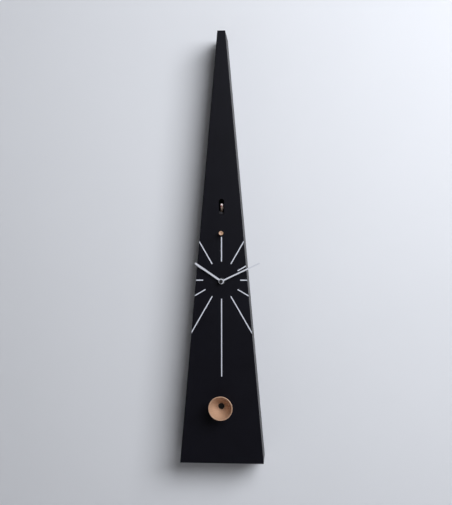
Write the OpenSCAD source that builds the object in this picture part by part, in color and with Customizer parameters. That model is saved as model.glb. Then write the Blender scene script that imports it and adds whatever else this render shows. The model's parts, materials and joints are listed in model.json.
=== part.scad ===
// Pendulum wall clock with a bird doorway. Millimetres, +Z up, front towards -Y.
// The origin is the middle of the hanging hole, in the plane of the wall.
// Heights named _h are measured up from the foot of the case; at() turns them into Z.

/* [Case] */
// Height of the case
case_h = 800; // [780:1:840]
// Width of the case at its foot
base_w = 155; // [150:1:165]
// Width of the case at its top
top_w = 14.5; // [14:0.5:18]
// Depth of the case, wall to front face
case_d = 70; // [68:1:76]
// Thickness of the front panel
front_t = 6; // [5:0.5:6]
// Thickness of the side and bottom panels
side_t = 6; // [5:0.5:6]
// Height of the hanging hole above the foot
hang_h = 690; // [680:1:695]

/* [Dial] */
// Height of the hands' axis above the foot
dial_h = 336.5; // [335:0.5:342]
// How far the hour bars' centre lies above the hands' axis
mark_rise = 2; // [0:0.5:3]
// Radius at which the hour bars begin
mark_in_r = 34.5; // [32:0.5:36]
// Width of an hour bar
mark_w = 1.9; // [1.8:0.1:3]
// Thickness of an hour bar
mark_t = 0.3; // [0.2:0.05:0.5]
// Outer end of the bar at 12
mark_12_r = 80; // [70:1:80]
// Outer end of the bar at 6
mark_6_r = 178; // [150:1:185]
// Length of the minute hand
minute_len = 78; // [70:1:84]
// Length of the hour hand
hour_len = 59; // [50:1:62]
// Minute hand's angle, clockwise from 12
minute_angle = 64.7; // [0:0.1:359]
// Hour hand's angle, clockwise from 12
hour_angle = 304.5; // [0:0.1:359]

/* [Pendulum] */
// Height of the pivot above the foot
pivot_h = 425; // [423:0.5:427]
// Height of the bob's axis above the foot
bob_h = 107; // [100:1:112]
// Radius of the bob's rim
bob_r = 22; // [21:0.5:24]
// Length of the bob, back to rim
bob_len = 29; // [24:1:30]
// Swing to each side, in degrees
swing = 3; // [1:0.5:3]

/* [Bird doorway] */
// Height of the doorway's sill above the foot
door_h = 460.7; // [460.7:0.1:461]
// Width of the doorway
door_w = 9.8; // [9.6:0.1:11]
// Height of the doorway, sill to the top of its arch
door_tall = 28; // [27:0.5:32]
// How far the bird runs out
bird_travel = 18; // [12:1:18]

/* [Hidden] */
$fn = 64;

black = "#17171a";
raw_board = "#a98d66";
steel = "#b9bcc0";
brass = "#c9a24b";
plastic = "#2b2b2e";
pale_plastic = "#d9d7cf";
white = "#f2f3f6";
turned_wood = "#c79a72";
green_board = "#2f6b3c";
copper = "#b5693a";

front_y = -case_d;             // front face of the front panel
panel_y = front_y + front_t;   // back face of the front panel
slant = atan((base_w - top_w) / 2 / case_h);
side_x = side_t / cos(slant);  // side panel's thickness measured level

function at(h) = h - hang_h;
function half_w(h) = (base_w - (base_w - top_w) * h / case_h) / 2;
function inner_w(h) = half_w(h) - side_x;
function polar(r, a) = [r * cos(a), r * sin(a)];

running_gap = 0.05;  // round parts that turn in each other stand this far apart
pivot_z = at(pivot_h);
bob_z = at(bob_h);
dial_z = at(dial_h);
sill_z = at(door_h);

// Extrudes an outline drawn in x and z forward from y_back
module slab(y_back, t) {
    translate([0, y_back, 0]) rotate([90, 0, 0]) linear_extrude(t) children();
}

// Round bar along Y, running forward from y_back
module bar_y(x, z, y_back, len, r) {
    translate([x, y_back, z]) rotate([90, 0, 0]) cylinder(h = len, r = r);
}

// Cone along Y, running forward from y_back
module cone_y(x, z, y_back, len, r_back, r_front) {
    translate([x, y_back, z]) rotate([90, 0, 0]) cylinder(h = len, r1 = r_back, r2 = r_front);
}

// Turned shape on the Y axis: outline in radius and distance forward of y_back
module turned_y(x, z, y_back) {
    translate([x, y_back, z]) rotate([90, 0, 0]) rotate_extrude() children();
}

// Box given by its middle in x and z, its back and its depth
module block(x, z, y_back, w, t, h) {
    translate([x - w / 2, y_back - t, z - h / 2]) cube([w, t, h]);
}

// Room for a countersunk wood screw that points forward from y_back
module screw_room(x, z, y_back, len, r) {
    cone_y(x, z, y_back, r, 2 * r, r);
    bar_y(x, z, y_back - r, len - 2 * r, r);
    cone_y(x, z, y_back - len + r, r, r, 0.3);
}

// Slot of a screw's cross, in its head's face at y_back
module cross_slot(x, z, y_back, w, deep) {
    for (a = [0, 90])
        translate([x, y_back, z]) rotate([0, a, 0]) cube([w, 2 * deep, w / 5], center = true);
}

module wood_screw(x, z, y_back, len, r) {
    difference() {
        screw_room(x, z, y_back, len, r);
        cross_slot(x, z, y_back, 2 * r, r / 2);
    }
}

// Turn that puts gear b in mesh with gear a, where b lies in the direction dir from a
function mesh_turn(dir, turn_a, teeth_a, teeth_b) =
    dir + 180 + (180 - (turn_a - dir) * teeth_a) / teeth_b;

// Gear outline: straight-sided teeth with generous backlash
module gear_outline(teeth, mod, turn = 0) {
    pitch_a = 360 / teeth;
    root_r = mod * (teeth / 2 - 1.15);
    tip_r = mod * (teeth / 2 + 0.8);
    polygon([for (i = [0 : teeth - 1]) let (a = turn + pitch_a * i) each [
        polar(root_r, a - 0.27 * pitch_a), polar(tip_r, a - 0.1 * pitch_a),
        polar(tip_r, a + 0.1 * pitch_a), polar(root_r, a + 0.27 * pitch_a)]]);
}

// ---- Case ----

module case_outline(h_low = 0, h_high = case_h, in = 0) {
    polygon([[-half_w(h_low) + in, at(h_low)], [half_w(h_low) - in, at(h_low)],
        [half_w(h_high) - in, at(h_high)], [-half_w(h_high) + in, at(h_high)]]);
}

module doorway_outline() {
    arch_r = door_w / 2;
    translate([-arch_r, sill_z]) square([door_w, door_tall - arch_r]);
    translate([0, sill_z + door_tall - arch_r]) circle(arch_r);
}

stem_r = 2;
slot_r = stem_r + 1;
slot_x = (pivot_h - bob_h) * sin(swing);   // reach of the stem to each side

module bob_slot_outline() {
    translate([-slot_x, bob_z - slot_r + 0.2]) square([2 * slot_x, 2 * slot_r]);
    for (s = [-1, 1]) translate([s * slot_x, bob_z + 0.2]) circle(slot_r);
}

bush_r = 4;         // threaded shaft bush of the movement
pivot_bush_r = 3.5;

module front_panel() {
    color(black) difference() {
        slab(panel_y, front_t) difference() {
            case_outline();
            doorway_outline();
            bob_slot_outline();
            translate([0, dial_z]) circle(bush_r);
            translate([0, pivot_z]) circle(pivot_bush_r);
        }
        for (p = unit_spots) bar_y(p[0], p[1], panel_y + 1, 1 + pilot_deep, screw_r);
    }
}

module side_panel() {
    color(black) slab(0, -panel_y) polygon([[inner_w(0), at(0)], [half_w(0), at(0)],
        [half_w(case_h), at(case_h)], [inner_w(case_h), at(case_h)]]);
}

module left_side() { mirror([1, 0, 0]) side_panel(); }
module right_side() { side_panel(); }

block_low_h = 640;
brace_d = 9;
brace_tall = 26;
middle_brace_h = 226;
lower_brace_h = side_t + brace_tall / 2;
glue_block = 14;
screw_r = 1.75;
screw_len = 18;
pilot_deep = 4;

// Room for the screws that run up through the bottom panel
module foot_screw_rooms() {
    for (s = [-1, 1]) translate([s * glue_x, glue_y, at(0)]) rotate([-90, 0, 0])
        screw_room(0, 0, 0, screw_len, screw_r);
}

module brace_screw_rooms(h) {
    for (s = [-1, 1]) screw_room(s * (inner_w(h) - glue_block / 2), at(h), 0, screw_len, screw_r);
}

module bottom_panel() {
    color(black) difference() {
        slab(0, -panel_y) case_outline(0, side_t, side_x);
        foot_screw_rooms();
    }
}

// Hanging plate let into the top block, with room behind its keyhole for the wall screw's head
plate = [16, 2, 46];
key_r = 4.5;
key_slot_r = 2.3;
key_up = 12;
plate_screw_z = 17;
head_room = 9;

module keyhole_outline(grow = 0) {
    circle(key_r + grow);
    translate([-key_slot_r - grow, 0]) square([2 * (key_slot_r + grow), key_up]);
    translate([0, key_up]) circle(key_slot_r + grow);
}

module top_block() {
    color(raw_board) difference() {
        slab(0, -panel_y) case_outline(block_low_h, case_h, side_x);
        block(0, 0, 0.01, plate[0], plate[1] + 0.01, plate[2]);
        slab(-plate[1] + 0.01, head_room) keyhole_outline(2);
        for (s = [-1, 1]) screw_room(0, s * plate_screw_z, 0, screw_len, screw_r);
    }
}

module hanger_plate() {
    color(steel) difference() {
        slab(0, plate[1]) difference() {
            translate([-plate[0] / 2, -plate[2] / 2]) square([plate[0], plate[2]]);
            keyhole_outline();
        }
        for (s = [-1, 1]) screw_room(0, s * plate_screw_z, 0, screw_len, screw_r);
    }
}

module hanger_screws() {
    color(steel) for (s = [-1, 1]) wood_screw(0, s * plate_screw_z, 0, screw_len, screw_r);
}

module brace(h) {
    low = h - brace_tall / 2;
    color(raw_board) difference() {
        slab(0, brace_d) case_outline(low, low + brace_tall, side_x);
        brace_screw_rooms(h);
    }
}

module middle_brace() { brace(middle_brace_h); }
module lower_brace() { brace(lower_brace_h); }

glue_x = inner_w(0) - 5 - glue_block / 2;
glue_y = -36;
foot_block_tall = 20;

// Block against the side panel, from h_low to h_high, its inner face at x_in
module corner_block(y_back, h_low, h_high, x_in) {
    slab(y_back, glue_block) polygon([[x_in, at(h_low)], [inner_w(h_low), at(h_low)],
        [inner_w(h_high), at(h_high)], [x_in, at(h_high)]]);
}

// Blocks in front of the brace ends, and at the foot of each side
module glue_blocks() {
    color(raw_board) {
        for (h = [middle_brace_h, lower_brace_h], side = [0, 1]) difference() {
            mirror([side, 0, 0]) corner_block(-brace_d, h - brace_tall / 2, h + brace_tall / 2,
                inner_w(h) - glue_block);
            brace_screw_rooms(h);
        }
        for (side = [0, 1]) difference() {
            mirror([side, 0, 0]) corner_block(glue_y + glue_block / 2, side_t, side_t + foot_block_tall,
                glue_x - glue_block / 2);
            foot_screw_rooms();
        }
    }
}

module case_screws() {
    color(steel) for (s = [-1, 1]) {
        for (h = [middle_brace_h, lower_brace_h])
            wood_screw(s * (inner_w(h) - glue_block / 2), at(h), 0, screw_len, screw_r);
        translate([s * glue_x, glue_y, at(0)]) rotate([-90, 0, 0])
            wood_screw(0, 0, 0, screw_len, screw_r);
    }
}

// ---- Dial ----

mark_gap = 0.4;

// Each bar runs from the inner circle out to the slanting edge, cut there along the edge
module hour_bars() {
    color(white) slab(front_y, mark_t) intersection() {
        translate([0, dial_z + mark_rise]) for (i = [0 : 11]) {
            out_r = i == 0 ? mark_12_r : i == 6 ? mark_6_r : 2 * base_w;
            rotate(-30 * i) translate([-mark_w / 2, mark_in_r]) square([mark_w, out_r - mark_in_r]);
        }
        case_outline(in = mark_gap);
    }
}

// ---- Movement ----

move_w = 56;
move_wall = 1.5;
move_front_d = 6;     // depth of the front shell
move_back_d = 11;     // depth of the back shell
move_split_y = panel_y + move_front_d;
move_back_y = move_split_y + move_back_d;
motion_mod = 0.5;
hour_mod = 0.48;      // puts the 10 and 40 teeth on the same centre distance as 12 and 36
axle_gap = 12;        // cannon pinion to minute wheel, and minute wheel to setting pinion
wheel_dir = 160;
setting_dir = 110;
wheel_at = polar(axle_gap, wheel_dir);
setting_at = wheel_at + polar(axle_gap, setting_dir);
hour_pipe_r = 2.8;
hour_pipe_bore = 1.85;
arbor_r = 1.8;
arbor_end_r = 1;
wheel_pin_r = 0.9;
setting_r = 1.5;
hour_gear_y = panel_y + 3.4;      // back face of the hour wheel
motion_gear_y = panel_y + 6.4;    // back face of the cannon pinion
gear_t = 1.2;
cell_r = 7.1;
cell_len = 49;
cell_z = dial_z - 19.2;
cell_y = panel_y + 8.6;

module shell_outline(in = 0) {
    translate([-move_w / 2 + in, dial_z - move_w / 2 + in])
        square([move_w - 2 * in, move_w - 2 * in]);
}

module movement_front_shell() {
    color(plastic) {
        difference() {
            slab(move_split_y, move_front_d) shell_outline();
            slab(move_split_y + 1, move_front_d - move_wall + 1) shell_outline(move_wall);
            bar_y(0, dial_z, panel_y + 5, 10, bush_r);
        }
        bar_y(wheel_at[0], dial_z + wheel_at[1], panel_y + 8, 8 - move_wall + 0.5, wheel_pin_r);
    }
}

module movement_back_shell() {
    color(plastic) difference() {
        union() {
            difference() {
                slab(move_back_y, move_back_d) shell_outline();
                slab(move_back_y - move_wall, move_back_d) shell_outline(move_wall);
            }
            slab(move_back_y, move_back_d) translate([-move_w / 2 + 1, dial_z - move_w / 2 + 1])
                square([move_w - 2, 17.6]);
        }
        block(0, cell_z, move_back_y + 1, cell_len + 2.6, 20, 2 * cell_r + 0.6);
        bar_y(setting_at[0], dial_z + setting_at[1], move_back_y + 1, 6, setting_r + running_gap);
        bar_y(0, dial_z, move_back_y - 0.9, 6, arbor_end_r + running_gap);
    }
}

module shaft_bush() {
    color(black) turned_y(0, dial_z, panel_y + 1.5)
        polygon([[hour_pipe_r + running_gap, 0], [bush_r, 0], [bush_r, 10.6], [bush_r - 0.5, 11.1],
            [hour_pipe_r + running_gap, 11.1]]);
}

module shaft_washer() {
    color(black) slab(front_y, 0.5) difference() {
        translate([0, dial_z]) circle(7);
        translate([0, dial_z]) circle(bush_r);
    }
}

module shaft_nut() {
    color(black) slab(front_y - 0.5, 2.2) difference() {
        translate([0, dial_z]) circle(6, $fn = 6);
        translate([0, dial_z]) circle(bush_r);
    }
}

hour_hand_y = front_y - 4.6;     // back face of the hour hand
minute_hand_y = front_y - 7.4;   // back face of the minute hand
hand_t = 0.8;
hour_hand_w = 3.5;
minute_hand_w = 2.7;
hour_boss_r = 4.6;
minute_boss_r = 5;

module hour_wheel() {
    color(pale_plastic) difference() {
        union() {
            slab(hour_gear_y, gear_t) translate([0, dial_z]) gear_outline(40, hour_mod);
            bar_y(0, dial_z, hour_gear_y, hour_gear_y - hour_hand_y + hand_t + 0.8, hour_pipe_r);
        }
        bar_y(0, dial_z, hour_gear_y + 1, 30, hour_pipe_bore);
    }
}

// Arbor, cannon pinion and centre wheel turn as one
module minute_arbor() {
    tip_y = minute_hand_y - hand_t - 2.4;
    color(brass) {
        bar_y(0, dial_z, motion_gear_y, motion_gear_y - tip_y, arbor_r);
        bar_y(0, dial_z, move_back_y - 1, move_back_y - 1 - motion_gear_y, arbor_end_r);
        slab(motion_gear_y, gear_t) translate([0, dial_z]) gear_outline(12, motion_mod);
        slab(motion_gear_y + 3, gear_t) translate([0, dial_z]) gear_outline(60, 0.28);
    }
}

wheel_turn = mesh_turn(wheel_dir, 0, 12, 36);

// Wheel driven by the cannon pinion, with the small pinion that drives the hour wheel
module minute_wheel() {
    pinion_t = motion_gear_y - 1 - (hour_gear_y - gear_t);
    color(pale_plastic) translate([wheel_at[0], 0, dial_z + wheel_at[1]]) difference() {
        union() {
            slab(motion_gear_y - 0.1, gear_t - 0.2) gear_outline(36, motion_mod, wheel_turn);
            slab(motion_gear_y - 1, pinion_t)
                gear_outline(10, hour_mod, mesh_turn(wheel_dir, 0, 40, 10));
        }
        bar_y(0, 0, 0, 80, wheel_pin_r + running_gap);
    }
}

module setting_knob() {
    knob_r = 5.5;
    color(pale_plastic) translate([setting_at[0], 0, dial_z + setting_at[1]]) {
        slab(motion_gear_y - 0.1, gear_t - 0.2)
            gear_outline(12, motion_mod, mesh_turn(setting_dir, wheel_turn, 36, 12));
        bar_y(0, 0, move_back_y + 1, move_back_y + 1 - motion_gear_y + 0.3, setting_r);
        slab(move_back_y + 4.4, 4) difference() {
            circle(knob_r);
            for (i = [0 : 23]) rotate(15 * i) translate([knob_r, 0]) circle(0.45, $fn = 6);
        }
    }
}

module circuit_board() {
    color(green_board) slab(panel_y + 3.2, 1) translate([13.5, dial_z - 9])
        square([12.5, 34]);
}

module motor_coil() {
    color(copper) translate([18.5, panel_y + 9.4, dial_z - 2]) {
        cylinder(h = 18, r = 2.9);
        for (z = [-1.2, 18]) translate([0, 0, z]) cylinder(h = 1.2, r = 4);
    }
}

module motor_stator() {
    color(steel) slab(panel_y + 5, 0.8) difference() {
        translate([14.5, dial_z - 7.5]) square([9, 30]);
        translate([18.5, dial_z + 6]) circle(2.8);
    }
}

module clock_cell() {
    color("#3f4348") translate([-cell_len / 2, cell_y, cell_z]) rotate([0, 90, 0]) {
        cylinder(h = cell_len - 1.2, r = cell_r - 0.1);
        cylinder(h = cell_len, r = 2.6);
    }
}

module cell_contacts() {
    color(steel) for (x = [-cell_len / 2 - 0.7, cell_len / 2 + 0.2])
        translate([x, cell_y - 4, cell_z - 4.5]) cube([0.5, 10.5, 9]);
}

// ---- Hands ----

module hand(angle, len, w, boss_r, bore_r, y_back) {
    color(white) slab(y_back, hand_t) translate([0, dial_z]) difference() {
        union() {
            rotate(-angle) translate([-w / 2, 0]) square([w, len]);
            circle(boss_r);
        }
        circle(bore_r);
    }
}

module hour_hand() {
    hand(hour_angle, hour_len, hour_hand_w, hour_boss_r, hour_pipe_r, hour_hand_y);
}

module minute_hand() {
    hand(minute_angle, minute_len, minute_hand_w, minute_boss_r, arbor_r, minute_hand_y);
}

// Closed cap nut over the end of the minute arbor
module hand_nut() {
    nut_r = 3.4;
    nut_len = 5;
    color(black) turned_y(0, dial_z, minute_hand_y - hand_t)
        polygon([[arbor_r, 0], [nut_r, 0], [nut_r, nut_len - 1.4], [nut_r - 0.7, nut_len - 0.5],
            [nut_r - 1.8, nut_len], [0, nut_len], [0, 2.4], [arbor_r, 2.4]]);
}

// ---- Pendulum ----

pend_arbor_r = 2;
rod_y = -42;
rod_r = 1.5;
cap_front = 15;     // how far the cap stands in front of the panel
rod_end_h = bob_h - 27;

module pivot_bush() {
    color(brass) difference() {
        union() {
            bar_y(0, pivot_z, panel_y, front_t + 0.8, pivot_bush_r);
            bar_y(0, pivot_z, panel_y + 1.2, 1.2, pivot_bush_r + 2);
        }
        bar_y(0, pivot_z, panel_y + 2, 12, pend_arbor_r + running_gap);
    }
}

module pendulum_arbor() {
    back_y = rod_y + 5;
    color(steel) bar_y(0, pivot_z, back_y, back_y - front_y + cap_front - 3, pend_arbor_r);
}

// Turned cap: narrow neck, flared front with a shallow dish
module pivot_cap() {
    color(turned_wood) turned_y(0, pivot_z, front_y - 1.6)
        polygon([[pend_arbor_r, 0], [2.7, 0], [2.9, 5], [3.9, 11.8], [3.7, 13.1], [3, 13.4], [0, 12.4],
            [0, 10.4], [pend_arbor_r, 10.4]]);
}

module rod_hanger() {
    color(brass) difference() {
        union() {
            bar_y(0, pivot_z, rod_y + 4.5, 9, 6);
            block(0, pivot_z - 7, rod_y + 4.5, 8, 9, 12);
        }
        bar_y(0, pivot_z, rod_y + 6, 12, pend_arbor_r);
        translate([0, rod_y, pivot_z - 14]) cylinder(h = 10, r = rod_r);
        translate([0, rod_y, pivot_z]) cylinder(h = 7, r = 1.25);
    }
}

module clamp_screw() {
    color(steel) translate([0, rod_y, pivot_z + pend_arbor_r]) difference() {
        union() {
            cylinder(h = 5, r = 1.25);
            translate([0, 0, 4.2]) cylinder(h = 1.8, r = 2.4);
        }
        translate([0, 0, 6]) cube([6, 0.6, 1.4], center = true);
    }
}

module pendulum_rod() {
    rod_low = at(rod_end_h);
    color(steel) translate([0, rod_y, rod_low]) cylinder(h = pivot_z - 4.2 - rod_low, r = rod_r);
}

magnet_h = 388;

module drive_magnet() {
    color(steel) difference() {
        bar_y(0, at(magnet_h), rod_y + 0.4, 5.6, 4);
        translate([0, rod_y, at(magnet_h) - 5]) cylinder(h = 10, r = rod_r);
    }
}

module bob_carrier() {
    color(brass) difference() {
        block(0, bob_z, rod_y + 6, 11, 12, 16);
        translate([0, rod_y, bob_z - 9]) cylinder(h = 18, r = rod_r);
        bar_y(0, bob_z, rod_y - 2.5, 6, stem_r);
    }
}

bob_back_y = front_y - 3;
bob_floor = 2.5;     // thickness of the bob's wood behind its screw

module bob_stem() {
    color(steel) bar_y(0, bob_z, rod_y - 2.5, rod_y - 2.5 - bob_back_y + bob_floor + 0.9, stem_r);
}

// Turned funnel: thick neck at the back, thin flared rim at the front
module bob() {
    neck_r = 8;
    floor_r = 6.2;
    color(turned_wood) turned_y(0, bob_z, bob_back_y)
        polygon([[stem_r, 0], [neck_r - 1, 0], [neck_r, 1], [bob_r - 3.2, bob_len - 9],
            [bob_r - 0.3, bob_len - 2], [bob_r, bob_len - 0.8], [bob_r - 0.5, bob_len],
            [bob_r - 1.6, bob_len], [bob_r - 2.1, bob_len - 0.9], [bob_r - 5.4, bob_len - 9],
            [floor_r, bob_floor], [stem_r, bob_floor]]);
}

module bob_screw() {
    color(black) turned_y(0, bob_z, bob_back_y - bob_floor)
        polygon([[stem_r, 0], [5.6, 0], [5.6, 0.8], [4.8, 1.6], [0, 2.1], [0, 1.2], [stem_r, 1.2]]);
}

module rating_nut() {
    color(brass) translate([0, rod_y, bob_z - 12.2]) difference() {
        cylinder(h = 4, r = 5);
        translate([0, 0, -1]) cylinder(h = 6, r = rod_r + running_gap);
        for (i = [0 : 19]) rotate(18 * i) translate([5.1, 0, -1]) cylinder(h = 6, r = 0.4, $fn = 6);
    }
}

// ---- Pendulum drive, between the panel and the rod ----

drive_d = 14;
drive_size = [26, 22];
drive_wall = 1.5;

module drive_case() {
    color(plastic) {
        difference() {
            block(0, at(magnet_h), panel_y + drive_d, drive_size[0], drive_d, drive_size[1]);
            block(0, at(magnet_h), panel_y + drive_d - drive_wall, drive_size[0] - 2 * drive_wall,
                drive_d, drive_size[1] - 2 * drive_wall);
        }
        for (s = [-1, 1]) difference() {
            block(s * (drive_size[0] / 2 + 4), at(magnet_h), panel_y + 1.6, 8, 1.6, 10);
            bar_y(s * (drive_size[0] / 2 + 4), at(magnet_h), panel_y + 2, 3, screw_r);
        }
    }
}

module drive_coil() {
    color(copper) slab(panel_y + drive_d - drive_wall - 0.3, 8) difference() {
        translate([0, at(magnet_h)]) circle(8);
        translate([0, at(magnet_h)]) circle(2.5);
    }
}

// ---- Cuckoo unit ----

cuckoo_w = 46;
cuckoo_low_h = 446;
cuckoo_tall = 66;
cuckoo_d = 53;
cuckoo_wall = 1.6;
cuckoo_back_y = panel_y + cuckoo_d;
floor_h = cuckoo_low_h + cuckoo_wall;
speaker_h = 496;
guide_in = 3.1;       // half the width of the guide's channel
guide_wall = 2;
bar_w = 6;
rack_mod = 0.8;
rack_teeth = 10;      // on the pinion
rack_pitch = PI * rack_mod;
rack_root_h = 461.4;
rack_line_h = rack_root_h - 1.15 * rack_mod;
pinion_h = rack_line_h - rack_mod * rack_teeth / 2;
pinion_y = -38;
carriage_top_h = rack_root_h + 3;
bird_y = front_y + 8.3;          // the bird's feet
carriage_front_y = bird_y - 2.1;
rack_count = ceil(bird_travel / rack_pitch) + 1;   // teeth behind the pinion
carriage_back_y = pinion_y + rack_pitch * rack_count + 1.5;

module cuckoo_case() {
    mid_z = at(cuckoo_low_h + cuckoo_tall / 2);
    color(plastic) {
        difference() {
            block(0, mid_z, cuckoo_back_y, cuckoo_w, cuckoo_d, cuckoo_tall);
            block(0, mid_z, cuckoo_back_y - cuckoo_wall, cuckoo_w - 2 * cuckoo_wall, cuckoo_d,
                cuckoo_tall - 2 * cuckoo_wall);
            block(12, at(cuckoo_low_h + 12), cuckoo_back_y + 1, 12, 6, 3.2);
            for (i = [-2 : 2], k = [-2 : 2]) if (abs(i) + abs(k) < 4)
                bar_y(5 * i, at(speaker_h + 5 * k), cuckoo_back_y + 1, 6, 1.2);
        }
        for (s = [-1, 1]) difference() {
            block(0, mid_z + s * (cuckoo_tall / 2 + 4), panel_y + 1.6, 12, 1.6, 8);
            bar_y(0, mid_z + s * (cuckoo_tall / 2 + 4), panel_y + 2, 3, screw_r);
        }
    }
}

module bird_guide() {
    color(plastic) difference() {
        union() for (s = [-1, 1]) mirror([s < 0 ? 1 : 0, 0, 0]) {
            translate([guide_in, -60, at(floor_h)])
                cube([guide_wall, 40, rack_root_h + 4.4 - floor_h]);
            translate([guide_in - 0.8, -60, at(rack_root_h) - 1.4]) cube([1, 40, 1.3]);
            translate([guide_in - 0.8, -46, at(carriage_top_h) + 0.15]) cube([1, 26, 1.2]);
        }
        translate([-8, pinion_y, at(pinion_h)]) rotate([0, 90, 0]) cylinder(h = 16, r = 1 + running_gap);
    }
}

// Sliding bar with rack teeth along its underside
module bird_carriage() {
    color(plastic) {
        translate([-bar_w / 2, carriage_front_y, at(rack_root_h)])
            cube([bar_w, carriage_back_y - carriage_front_y, carriage_top_h - rack_root_h]);
        for (i = [-1 : rack_count - 1]) translate([-2, pinion_y + rack_pitch * (i + 0.5), at(rack_root_h)])
            rotate([90, 0, 90]) linear_extrude(4) polygon([
                [-0.27 * rack_pitch, 0], [-0.1 * rack_pitch, -1.95 * rack_mod],
                [0.1 * rack_pitch, -1.95 * rack_mod], [0.27 * rack_pitch, 0]]);
    }
}

head_r = 2.9;
head_at = [0, bird_y - 2.7, at(477.7)];

// Head, tapering body and tail, standing on the carriage
module bird() {
    color("#8d7f78") difference() {
        union() {
            translate(head_at) sphere(head_r, $fn = 32);
            translate([0, bird_y, at(466.9)]) rotate([18, 0, 0])
                rotate_extrude($fn = 32) polygon([[0, -1.6], [1.4, -1.2], [2.6, 0.6], [3.2, 3.2],
                    [3.1, 5.6], [2.6, 8.4], [2, 10.6], [0, 10.6]]);
            translate([-1.6, bird_y + 1.3, at(466.8)]) rotate([-8, 0, 0]) cube([3.2, 7, 1.4]);
            for (s = [-1, 1]) translate([1.2 * s, bird_y, at(carriage_top_h)]) cylinder(h = 3, r = 0.5);
        }
        beak_cone();
    }
}

module beak_cone() {
    translate([0, head_at[1] - head_r + 0.9, head_at[2] - 1.4]) rotate([128, 0, -14])
        cylinder(h = 3.8, r1 = 1.1, r2 = 0.15, $fn = 32);
}

module beak() { color("#8e2a22") beak_cone(); }

module bird_motor() {
    color(steel) translate([guide_in + guide_wall, pinion_y, at(pinion_h)]) rotate([0, 90, 0]) {
        cylinder(h = 14, r = 6);
        translate([0, 0, 14]) cylinder(h = 1.2, r = 2);
    }
}

module motor_pinion() {
    color(brass) {
        translate([-2, pinion_y, at(pinion_h)]) rotate([90, 0, 90]) linear_extrude(4)
            gear_outline(rack_teeth, rack_mod, 90);
        translate([-4, pinion_y, at(pinion_h)]) rotate([0, 90, 0])
            cylinder(h = guide_in + guide_wall + 3.9, r = 1);
    }
}

module sound_board() {
    color(green_board) block(0, at(496), cuckoo_back_y - cuckoo_wall - 14,
        cuckoo_w - 2 * cuckoo_wall, 1.4, 26);
}

module volume_switch() {
    color(pale_plastic) {
        block(12, at(cuckoo_low_h + 12), cuckoo_back_y + 1.6, 3.4, 4.4, 2.8);
        block(12, at(cuckoo_low_h + 12), cuckoo_back_y - cuckoo_wall - 0.1, 8, 1.2, 5.4);
    }
}

speaker_r = 13.5;

module speaker_ring() {
    color(steel) turned_y(0, at(speaker_h), cuckoo_back_y - cuckoo_wall)
        polygon([[speaker_r - 2, 0], [speaker_r, 0], [speaker_r, 1.4], [9, 7], [9, 12], [0, 12],
            [0, 7.6], [7, 7.6], [speaker_r - 2, 1.4]]);
}

module speaker_cone() {
    color(black) turned_y(0, at(speaker_h), cuckoo_back_y - cuckoo_wall)
        polygon([[0, 3], [3, 3], [4, 4.4], [speaker_r - 2.2, 0.3], [speaker_r - 2.2, 1.1],
            [5, 6.4], [0, 6.4]]);
}

// ---- Batteries of the cuckoo unit ----

box_h = 276;
box_size = [58, 34];
box_d = 17;
box_wall = 1.6;
cell_row = 7.7;

module battery_box() {
    color(plastic) {
        difference() {
            block(0, at(box_h), panel_y + box_d, box_size[0], box_d, box_size[1]);
            block(0, at(box_h), panel_y + box_d + 1, box_size[0] - 2 * box_wall, box_d - box_wall + 1,
                box_size[1] - 2 * box_wall);
        }
        for (s = [-1, 1]) difference() {
            block(s * (box_size[0] / 2 + 4), at(box_h), panel_y + 1.6, 8, 1.6, 10);
            bar_y(s * (box_size[0] / 2 + 4), at(box_h), panel_y + 2, 3, screw_r);
        }
    }
}

module sound_cells() {
    color("#3f4348") for (s = [-1, 1])
        translate([-s * cell_len / 2, panel_y + box_wall + cell_r, at(box_h) + s * cell_row])
            mirror([s < 0 ? 1 : 0, 0, 0]) rotate([0, 90, 0]) {
                cylinder(h = cell_len - 1.2, r = cell_r);
                cylinder(h = cell_len, r = 2.6);
            }
}

flange_t = 1.6;
cuckoo_mid_z = at(cuckoo_low_h + cuckoo_tall / 2);
// Where each unit's two flanges are screwed to the panel
unit_spots = [for (s = [-1, 1]) each [
    [s * (drive_size[0] / 2 + 4), at(magnet_h)], [s * (box_size[0] / 2 + 4), at(box_h)],
    [0, cuckoo_mid_z + s * (cuckoo_tall / 2 + 4)]]];

module unit_screws() {
    color(steel) for (p = unit_spots) {
        bar_y(p[0], p[1], panel_y + flange_t, flange_t + pilot_deep, screw_r);
        difference() {
            bar_y(p[0], p[1], panel_y + 2 * flange_t, flange_t, 3);
            cross_slot(p[0], p[1], panel_y + 2 * flange_t, 3.6, 0.8);
        }
    }
}

front_panel();
left_side();
right_side();
bottom_panel();
top_block();
middle_brace();
lower_brace();
glue_blocks();
case_screws();
hanger_plate();
hanger_screws();
hour_bars();
movement_front_shell();
movement_back_shell();
shaft_bush();
shaft_washer();
shaft_nut();
minute_arbor();
hour_wheel();
minute_wheel();
setting_knob();
circuit_board();
motor_coil();
motor_stator();
clock_cell();
cell_contacts();
hour_hand();
minute_hand();
hand_nut();
pivot_bush();
pendulum_arbor();
pivot_cap();
rod_hanger();
clamp_screw();
pendulum_rod();
drive_magnet();
bob_carrier();
bob_stem();
bob();
bob_screw();
rating_nut();
drive_case();
drive_coil();
cuckoo_case();
bird_guide();
bird_carriage();
bird();
beak();
bird_motor();
motor_pinion();
sound_board();
volume_switch();
speaker_ring();
speaker_cone();
battery_box();
sound_cells();
unit_screws();
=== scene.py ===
import bpy
import bmesh
import json
import math
from mathutils import Matrix, Vector


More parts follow.
